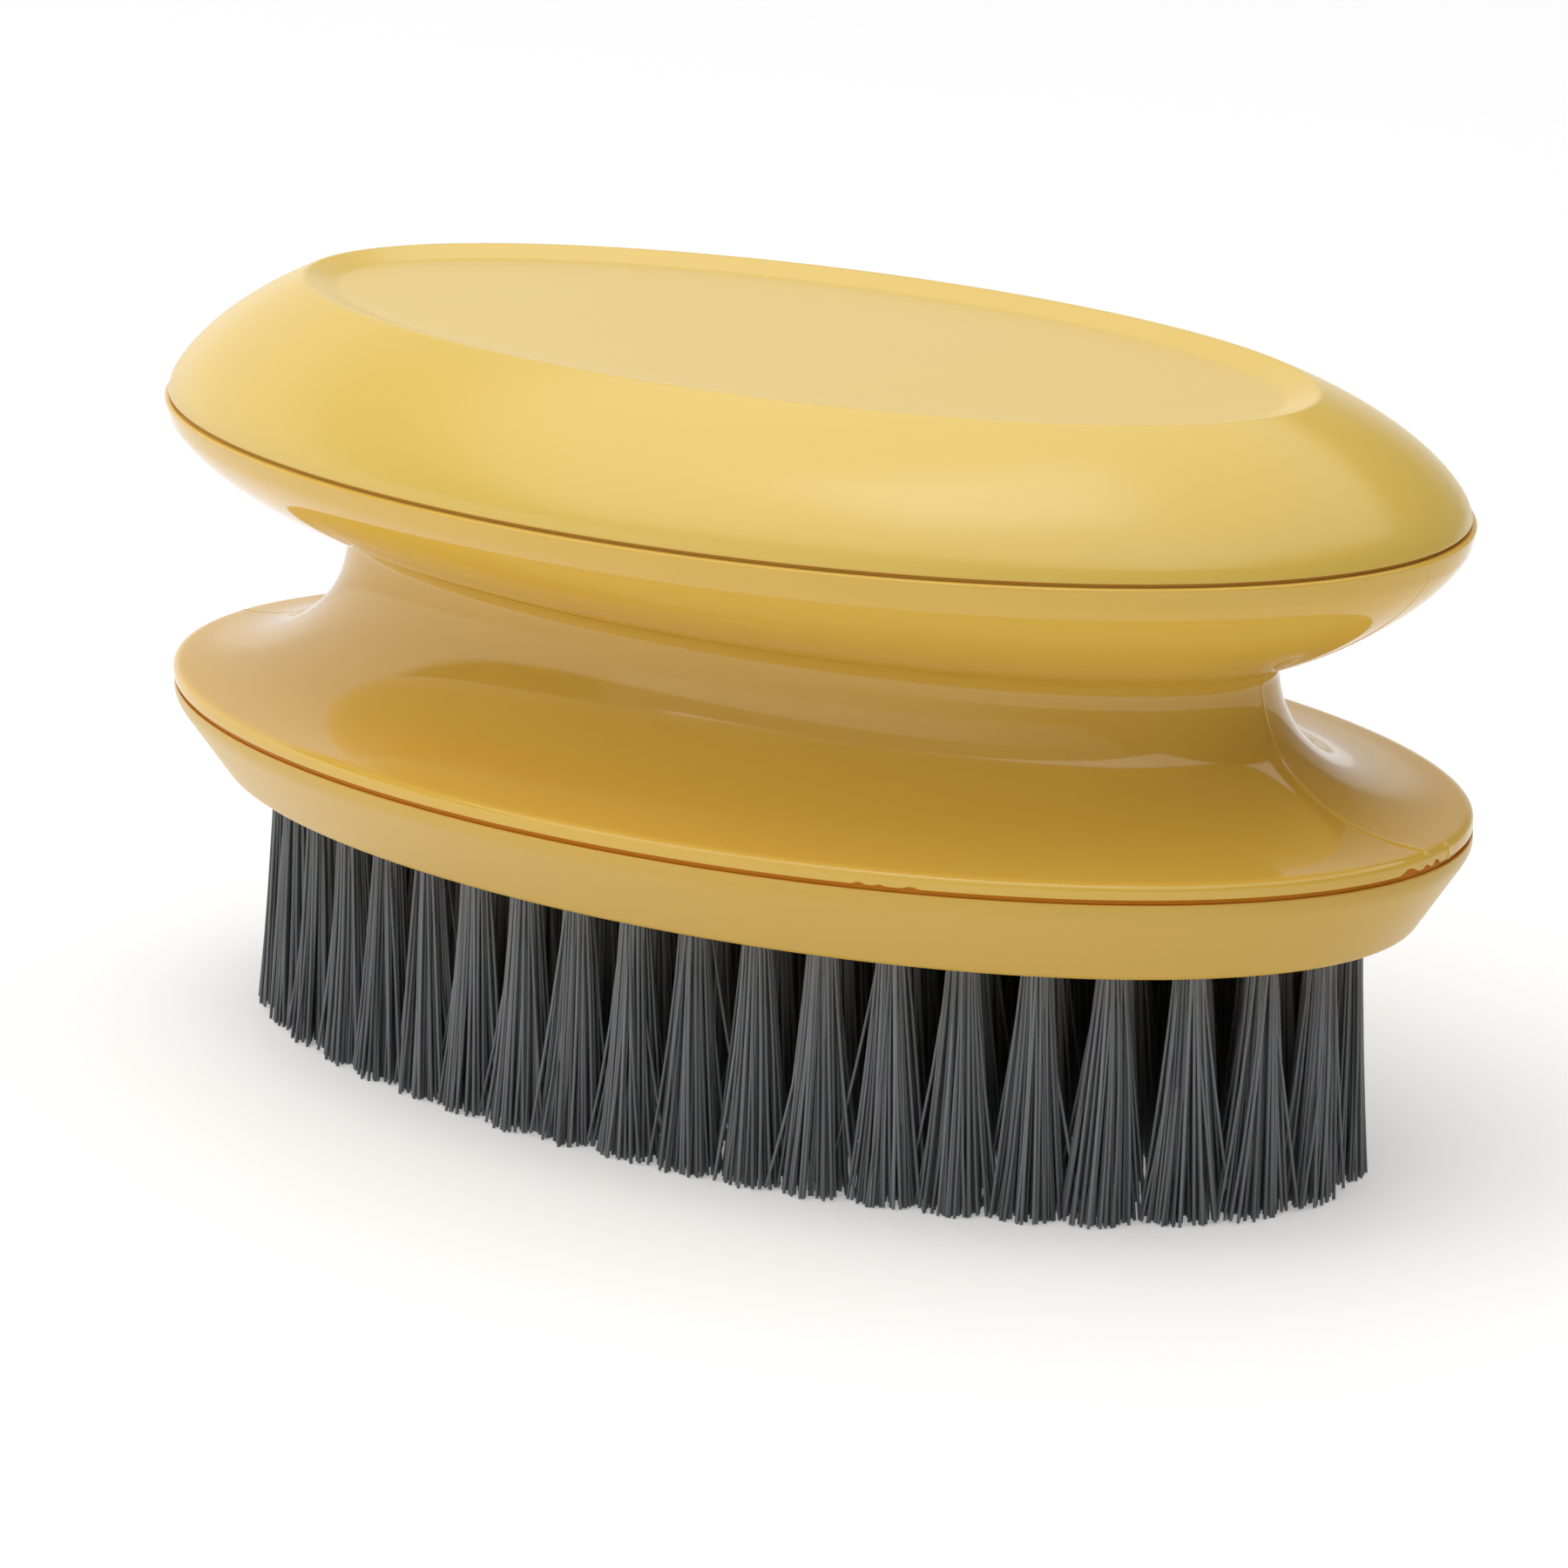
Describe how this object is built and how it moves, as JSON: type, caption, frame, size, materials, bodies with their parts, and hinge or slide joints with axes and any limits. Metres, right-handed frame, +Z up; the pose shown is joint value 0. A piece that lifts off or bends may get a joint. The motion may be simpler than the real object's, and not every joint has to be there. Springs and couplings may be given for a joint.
{
  "type": "laundry brush",
  "caption": "Oval laundry brush with a domed top cover, a waisted two-rimmed grip body, a tapered bristle base and upright dark bristle tufts.",
  "frame": {"origin": "centre of the plan oval, in the plane of the bristle tips that the brush stands on", "axes": "+X along the oval's length, +Y across it, +Z up from the tips to the cover's top"},
  "size_m": [0.13, 0.071, 0.0656],
  "materials": {
    "cover_plastic": "satin gloss, mustard yellow",
    "body_plastic": "gloss, mustard yellow",
    "base_plastic": "satin, mustard yellow",
    "bristle_nylon": "dark grey nylon filament"
  },
  "bodies": {
    "root": {"top_cover": "cover_plastic", "grip_body": "body_plastic", "bristle_base": "base_plastic", "tuft_outer_01": "bristle_nylon", "tuft_outer_02": "bristle_nylon", "tuft_outer_03": "bristle_nylon", "tuft_outer_04": "bristle_nylon", "tuft_outer_05": "bristle_nylon", "tuft_outer_06": "bristle_nylon", "tuft_outer_07": "bristle_nylon", "tuft_outer_08": "bristle_nylon", "tuft_outer_09": "bristle_nylon", "tuft_outer_10": "bristle_nylon", "tuft_outer_11": "bristle_nylon", "tuft_outer_12": "bristle_nylon", "tuft_outer_13": "bristle_nylon", "tuft_outer_14": "bristle_nylon", "tuft_outer_15": "bristle_nylon", "tuft_outer_16": "bristle_nylon", "tuft_outer_17": "bristle_nylon", "tuft_outer_18": "bristle_nylon", "tuft_outer_19": "bristle_nylon", "tuft_outer_20": "bristle_nylon", "tuft_outer_21": "bristle_nylon", "tuft_outer_22": "bristle_nylon", "tuft_outer_23": "bristle_nylon", "tuft_outer_24": "bristle_nylon", "tuft_outer_25": "bristle_nylon", "tuft_outer_26": "bristle_nylon", "tuft_outer_27": "bristle_nylon", "tuft_outer_28": "bristle_nylon", "tuft_outer_29": "bristle_nylon", "tuft_outer_30": "bristle_nylon", "tuft_outer_31": "bristle_nylon", "tuft_outer_32": "bristle_nylon", "tuft_outer_33": "bristle_nylon", "tuft_outer_34": "bristle_nylon", "tuft_outer_35": "bristle_nylon", "tuft_outer_36": "bristle_nylon", "tuft_outer_37": "bristle_nylon", "tuft_outer_38": "bristle_nylon", "tuft_outer_39": "bristle_nylon", "tuft_outer_40": "bristle_nylon", "tuft_outer_41": "bristle_nylon", "tuft_outer_42": "bristle_nylon", "tuft_ring_02": "bristle_nylon", "tuft_ring_03": "bristle_nylon", "tuft_ring_04": "bristle_nylon", "tuft_row_centre": "bristle_nylon"}
  },
  "joints": []
}
